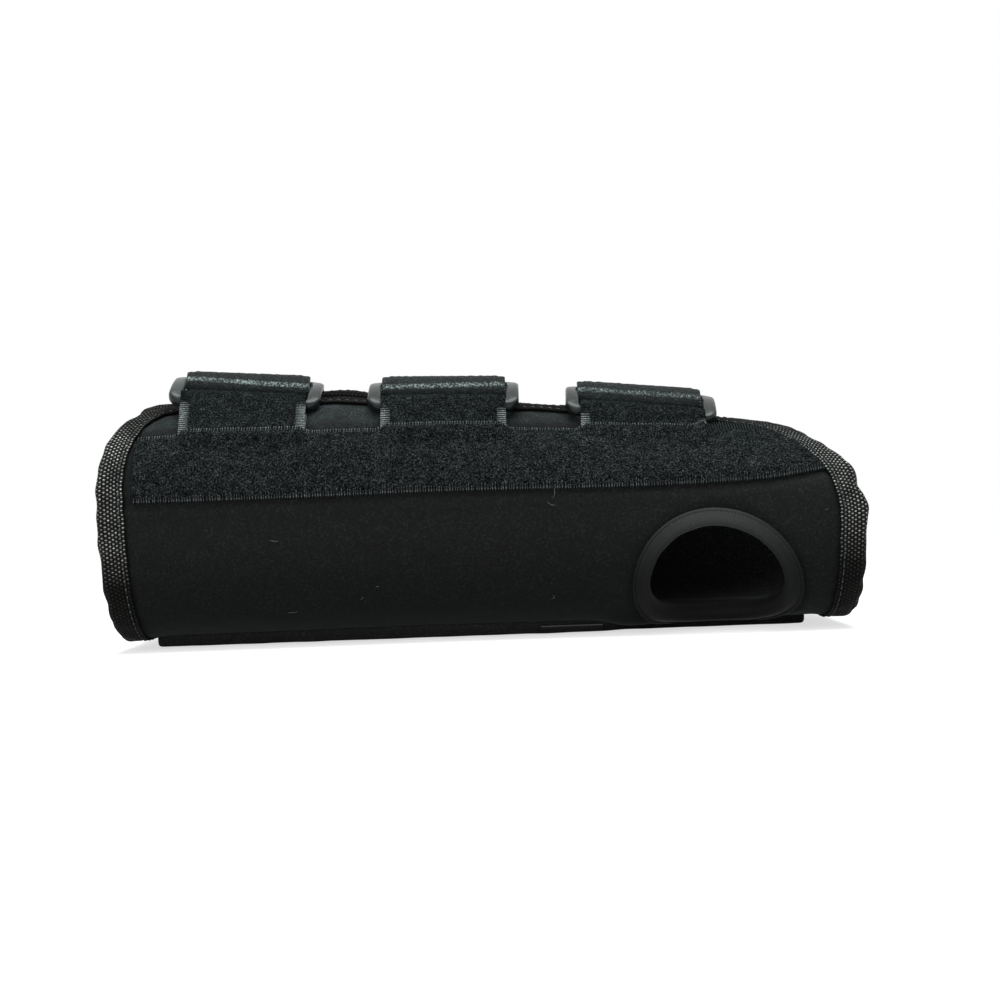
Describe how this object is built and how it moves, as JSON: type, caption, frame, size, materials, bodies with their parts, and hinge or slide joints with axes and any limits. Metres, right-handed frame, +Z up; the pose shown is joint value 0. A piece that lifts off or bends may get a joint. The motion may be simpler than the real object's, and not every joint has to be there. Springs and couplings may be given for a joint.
{
  "type": "wrist splint",
  "caption": "Wrist and forearm splint: a black laminate sleeve with a thumb hole, a metal palmar stay in a pocket, and straps that fold back through rectangular rings.",
  "frame": {"origin": "on the surface that the palm side rests on, below the middle of the sleeve", "axes": "+X along the forearm towards the fingers, +Y towards the little finger, +Z up through the back of the hand, for a splint on a left hand"},
  "size_m": [0.2281, 0.0925, 0.0844],
  "materials": {
    "loop_cloth": "brushed loop cloth over foam, matte black",
    "pile": "black loop pile",
    "woven_tape": "black basket-weave binding tape with a slight shine",
    "smooth_tape": "black stretch binding with fine gathers",
    "strap_cloth": "black pile webbing with a ribbed selvedge",
    "hook_plastic": "black moulded hooks",
    "satin": "blank black satin label",
    "ring_plastic": "glossy black moulding",
    "stay_metal": "plain strip with round ends"
  },
  "bodies": {
    "sleeve": {"sleeve_panel": "loop_cloth", "palmar_stay_pocket": "loop_cloth", "proximal_binding": "woven_tape", "distal_binding": "woven_tape", "ulnar_edge_binding": "woven_tape", "thumb_hole_binding": "smooth_tape", "ulnar_pile_ribbon": "pile", "blank_label": "satin", "strap_1": "strap_cloth", "strap_2": "strap_cloth", "strap_3": "strap_cloth"},
    "radial_flap": {"radial_flap_panel": "loop_cloth", "proximal_flap_binding": "woven_tape", "distal_flap_binding": "woven_tape", "radial_edge_binding": "woven_tape", "radial_pile_ribbon": "pile", "ring_tab_1": "pile", "ring_tab_2": "pile", "ring_tab_3": "pile"},
    "ring_1": {"ring_1": "ring_plastic", "strap_turn_1": "strap_cloth"},
    "ring_2": {"ring_2": "ring_plastic", "strap_turn_2": "strap_cloth"},
    "ring_3": {"ring_3": "ring_plastic", "strap_turn_3": "strap_cloth"},
    "tail_1": {"strap_tail_1": "strap_cloth", "hook_patch_1": "hook_plastic"},
    "tail_2": {"strap_tail_2": "strap_cloth", "hook_patch_2": "hook_plastic"},
    "tail_3": {"strap_tail_3": "strap_cloth", "hook_patch_3": "hook_plastic"},
    "stay": {"palmar_stay": "stay_metal"}
  },
  "joints": [
    {"name": "radial_flap_open", "type": "hinge", "parent": "sleeve", "child": "radial_flap", "pos_m": [0, -0.0452, 0.041], "axis": [1, 0, 0], "range_deg": [0, 50]},
    {"name": "ring_1_swivel", "type": "hinge", "parent": "radial_flap", "child": "ring_1", "pos_m": [-0.0713, -0.02466, 0.07568], "axis": [0.9997, 0, 0.0224], "range_deg": [0, 20]},
    {"name": "ring_2_swivel", "type": "hinge", "parent": "radial_flap", "child": "ring_2", "pos_m": [-0.01065, -0.02466, 0.07385], "axis": [0.9972, 0, -0.0748], "range_deg": [0, 20]},
    {"name": "ring_3_swivel", "type": "hinge", "parent": "radial_flap", "child": "ring_3", "pos_m": [0.05, -0.02466, 0.06818], "axis": [0.9944, 0, -0.1059], "range_deg": [0, 20]},
    {"name": "strap_1_peel", "type": "hinge", "parent": "ring_1", "child": "tail_1", "pos_m": [-0.0713, -0.00695, 0.08357], "axis": [0.9997, 0, 0.0224], "range_deg": [0, 130]},
    {"name": "strap_2_peel", "type": "hinge", "parent": "ring_2", "child": "tail_2", "pos_m": [-0.01065, -0.0068, 0.0816], "axis": [0.9972, 0, -0.0748], "range_deg": [0, 130]},
    {"name": "strap_3_peel", "type": "hinge", "parent": "ring_3", "child": "tail_3", "pos_m": [0.05, -0.00676, 0.07588], "axis": [0.9944, 0, -0.1059], "range_deg": [0, 130]},
    {"name": "palmar_stay_slide", "type": "slide", "parent": "sleeve", "child": "stay", "axis": [-1, 0, 0], "range_m": [0, 0.19]}
  ]
}
